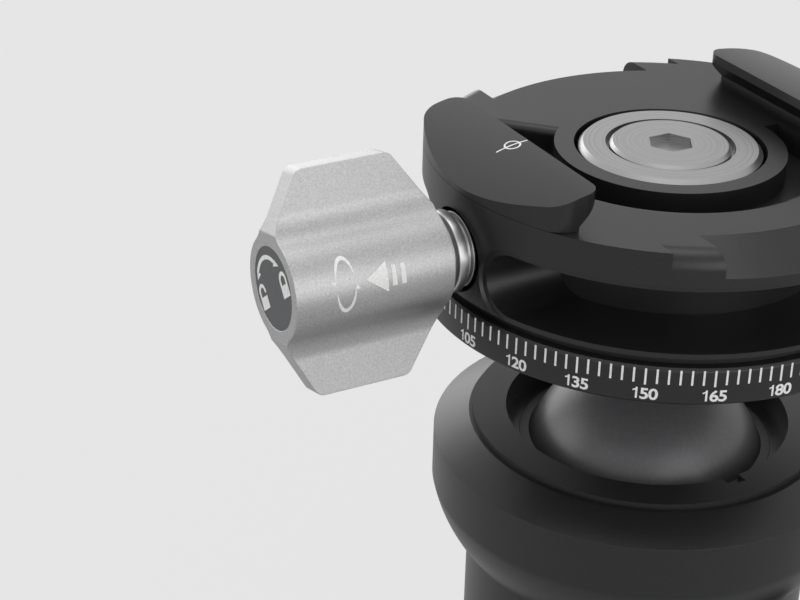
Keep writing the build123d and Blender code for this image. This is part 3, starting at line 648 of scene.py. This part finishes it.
def padlock(opened):
    # from its body's lower left corner; an open bow's right leg stops short
    wide, high, leg, stroke = 2.05, 1.45, 0.5, 0.46
    middle = (wide - stroke) / 2
    body = [[(0, 0), (wide, 0), (wide, high), (0, high)]]
    left = [[(0, high), (stroke, high), (stroke, high + leg), (0, high + leg)]]
    right = [] if opened else turnedShapes(left, 0, wide - stroke, 0)
    bow = band((wide / 2, high + leg), (middle, middle), -10 if opened else 0, 180, stroke)
    return body + left + right + bow


knobFront = boxOf("clamp_knob_inlay")[0].x - signPrint["proud"]
lockFront = boxOf("lock_knob_inlay")[1].x + signPrint["proud"]

# closed and open padlock, leaning, joined by an arc with an arrow at each end
inlayPrint = {"lean": 38, "closedAt": (2.85, -0.02), "openAt": (-2.42, -3.98), "arcCentre": (-0.45, -0.3),
              "arcRadii": (3.68, 3.68), "arcSpan": (82, 172), "stroke": 0.5}
inlaySigns = turnedShapes(padlock(False), inlayPrint["lean"], *inlayPrint["closedAt"])
inlaySigns += turnedShapes(padlock(True), inlayPrint["lean"], *inlayPrint["openAt"])
inlaySigns += band(inlayPrint["arcCentre"], inlayPrint["arcRadii"], *inlayPrint["arcSpan"],
                   inlayPrint["stroke"])
inlaySigns += [[(-4.38, 0.21), (-3.32, 0.3), (-4.1, -0.85)], [(0.09, 3.67), (1.33, 3.38), (-0.1, 2.72)]]

# two arrows going round the barrel, and a large arrow with two bars for pulling the knob out
barrelPrint = {"radius": 6.2, "farCentre": (-47.0, 1.85), "farRadii": (1.2, 3.1), "farSpan": (20, 172),
               "nearCentre": (-47.0, 1.95), "nearRadii": (1.2, 3.2), "nearSpan": (196, 350), "stroke": 0.5}
barrelSigns = []
for side in ("far", "near"):
    centre, radii, span = (barrelPrint[side + word] for word in ("Centre", "Radii", "Span"))
    barrelSigns += band(centre, radii, *span, barrelPrint["stroke"], taper=True)
barrelSigns += [[(-48.75, 2.45), (-48.05, 2.45), (-48.35, 1.9)],
                [(-45.95, 1.15), (-45.25, 1.15), (-45.65, 1.8)],
                [(-44.5, 1.95), (-41.8, 3.6), (-41.75, 0.0)],
                [(-41.25, 0.6), (-40.65, 0.6), (-40.75, 3.0), (-41.25, 3.0)],
                [(-40.1, 0.6), (-39.5, 0.6), (-39.55, 3.0), (-40.1, 3.0)]]


def onInlay(u, v):
    return Vector((knobFront, -u, v + spindleZ)) * mm


def onLockInlay(u, v):
    return Vector((lockFront, u, v + lockZ)) * mm


def onBarrel(u, v):
    angle, radius = v / barrelPrint["radius"], barrelPrint["radius"] + signPrint["proud"]
    return Vector((u, -radius * cos(angle), spindleZ + radius * sin(angle))) * mm


fitOut(polygonsTo("inlaySigns", inlaySigns, onInlay), "knob", "white_print", whitePaint)
fitOut(polygonsTo("lockInlaySigns", inlaySigns, onLockInlay), "lock_knob", "white_print", whitePaint)
fitOut(polygonsTo("barrelSigns", barrelSigns, onBarrel), "knob", "white_print", whitePaint)

jawTree = BVHTree.FromObject(jawPiece, bpy.context.evaluated_depsgraph_get())


def onJaw(u, v):
    # dropped from well above onto the jaw's top
    above, down = Vector((u * mm, v * mm, 0.2)), Vector((0, 0, -1))
    spot, normal, _, _ = jawTree.ray_cast(above, down)
    return spot + normal * signPrint["jawProud"] * mm


indexMark = {"centre": (-22.6, 0.0), "radius": 0.9, "stroke": 0.21, "lineFrom": -24.75, "lineTo": -20.6}
half, start, end = indexMark["stroke"] / 2, indexMark["lineFrom"], indexMark["lineTo"]
centreMark = band(indexMark["centre"], (indexMark["radius"],) * 2, 0, 360, indexMark["stroke"], steps=40)
centreMark += [[(start, -half), (end, -half), (end, half), (start, half)]]
fitOut(polygonsTo("jawCentreMark", centreMark, onJaw), "jaw", "white_print", whitePaint)
print("signs made")

# the other nodes keep their own shape
finishes = {
    "thread_bush": baseSteel, "base_bearing": blackAcetal, "base_retainer": baseSteel,
    "base_screws": blackOxide, "ball_cup": greyAcetal, "cup_spring": springWire, "ball_seat": greyAcetal,
    "pan_washer": blackAcetal, "hub_washer": blackAcetal, "spindle_nut": brassStock, "guide_pins": upperSteel,
    "clamp_spindle": upperSteel, "knob_screw": blackOxide, "clamp_knob_inlay": inlayDisc,
    "lock_wedge": lowerSteel, "lock_shaft": lowerSteel, "lock_knob_inlay": inlayDisc, "pan_pad": brassStock,
    "base_pan_pad": brassStock, "hub_disc": brightDisc, "hub_screw": brightDisc,
}
for node, material in finishes.items():
    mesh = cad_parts[node].data
    mesh.materials.clear()
    mesh.materials.append(material)

# strengths of the pale floor and backdrop as the camera sees them, as gloss sees them, and as light
studio = {"backdrop": "#e6e6e6", "floorSize": 3.0, "floorGlow": 0.97, "floorInGloss": 0.42,
          "shadowGrey": 0.02, "bounceGrey": 0.35, "worldLight": 0.8, "worldGlow": 0.98, "worldInGloss": 0.5}
# places in metres, aim as the height looked at on the axis, power in watts
lamps = {
    "backSoftbox": {"place": (0.03, 0.90, 0.14), "aim": 0.06, "size": 0.8, "power": 2.8},
    "leftSoftbox": {"place": (-0.66, 0.52, 0.22), "aim": 0.06, "size": 0.6, "power": 1.3},
    "frontSoftbox": {"place": (0.05, -0.72, 0.20), "aim": 0.06, "size": 0.8, "power": 1.9},
    "topSoftbox": {"place": (0.0, 0.05, 0.75), "aim": 0.07, "size": 0.5, "power": 0.9},
}
# angles in radians, offsets and distance in millimetres from the scale ring's top
view = {"pitch": 0.4809, "turn": -0.5048, "roll": 0.0252, "right": 32.4678, "up": 6.1158,
        "distance": 249.0158, "lens": 90.0, "sensor": 36.0}


def grey(level):
    return (level, level, level, 1)


def makeFloor():
    bpy.ops.mesh.primitive_plane_add(size=studio["floorSize"])
    floor = bpy.context.object
    floor.name = "studioFloor"
    material, tree = newMaterial("paleFloor")
    path = addNode(tree, "ShaderNodeLightPath")
    gloss = addNode(tree, "ShaderNodeMath", {"operation": "MULTIPLY", 1: studio["floorInGloss"]},
                    {0: path.outputs["Is Glossy Ray"]})
    seen = addNode(tree, "ShaderNodeMath", {"operation": "MAXIMUM"},
                   {0: path.outputs["Is Camera Ray"], 1: gloss.outputs[0]})
    paper = addNode(tree, "ShaderNodeBsdfDiffuse", {"Color": grey(studio["shadowGrey"])})
    glow = addNode(tree, "ShaderNodeEmission",
                   {"Color": linearColour(studio["backdrop"]), "Strength": studio["floorGlow"]})
    both = addNode(tree, "ShaderNodeAddShader", None, {0: paper.outputs[0], 1: glow.outputs[0]})
    plain = addNode(tree, "ShaderNodeBsdfDiffuse", {"Color": grey(studio["bounceGrey"])})
    mix = addNode(tree, "ShaderNodeMixShader", None,
                  {"Fac": seen.outputs[0], 1: plain.outputs[0], 2: both.outputs[0]})
    addNode(tree, "ShaderNodeOutputMaterial", None, {"Surface": mix.outputs[0]})
    floor.data.materials.append(material)


def makeWorld():
    world = bpy.data.worlds.new("studioWorld")
    world.use_nodes = True
    tree = world.node_tree
    tree.nodes.clear()
    path = addNode(tree, "ShaderNodeLightPath")
    clear = addNode(tree, "ShaderNodeMath", {"operation": "MAXIMUM"},
                    {0: path.outputs["Is Camera Ray"], 1: path.outputs["Is Transmission Ray"]})
    gloss = addNode(tree, "ShaderNodeMath", {"operation": "MULTIPLY", 1: studio["worldInGloss"]},
                    {0: path.outputs["Is Glossy Ray"]})
    seen = addNode(tree, "ShaderNodeMath", {"operation": "MAXIMUM"},
                   {0: clear.outputs[0], 1: gloss.outputs[0]})
    light = addNode(tree, "ShaderNodeBackground", {"Color": grey(1), "Strength": studio["worldLight"]})
    shown = addNode(tree, "ShaderNodeBackground",
                    {"Color": linearColour(studio["backdrop"]), "Strength": studio["worldGlow"]})
    mix = addNode(tree, "ShaderNodeMixShader", None,
                  {"Fac": seen.outputs[0], 1: light.outputs[0], 2: shown.outputs[0]})
    addNode(tree, "ShaderNodeOutputWorld", None, {"Surface": mix.outputs[0]})
    scene.world = world


def makeLamp(name, size):
    data = bpy.data.lights.new(name, "AREA")
    data.shape, data.size, data.energy = "DISK", size["size"], size["power"]
    lamp = bpy.data.objects.new(name, data)
    lamp.location = size["place"]
    aim = Vector((0, 0, size["aim"])) - Vector(size["place"])
    lamp.rotation_euler = aim.to_track_quat("-Z", "Y").to_euler()
    scene.collection.objects.link(lamp)


def makeCamera():
    pitch, turn = view["pitch"], view["turn"]
    right = Vector((cos(turn), sin(turn), 0))
    forward = Vector((-sin(turn) * cos(pitch), cos(turn) * cos(pitch), -sin(pitch)))
    up = Vector((-sin(turn) * sin(pitch), cos(turn) * sin(pitch), cos(pitch)))
    right, up = (right * cos(view["roll"]) + up * sin(view["roll"]),
                 up * cos(view["roll"]) - right * sin(view["roll"]))
    place = Vector((0, 0, ringTop)) - right * view["right"] - up * view["up"] - forward * view["distance"]
    data = bpy.data.cameras.new("camera")
    data.lens, data.sensor_width, data.clip_start = view["lens"], view["sensor"], 0.01
    camera = bpy.data.objects.new("camera", data)
    camera.matrix_world = Matrix((
        (right.x, up.x, -forward.x, place.x * mm), (right.y, up.y, -forward.y, place.y * mm),
        (right.z, up.z, -forward.z, place.z * mm), (0, 0, 0, 1)))
    scene.collection.objects.link(camera)
    scene.camera = camera


makeFloor()
makeWorld()
for name, size in lamps.items():
    makeLamp(name, size)
makeCamera()
print("studio made")
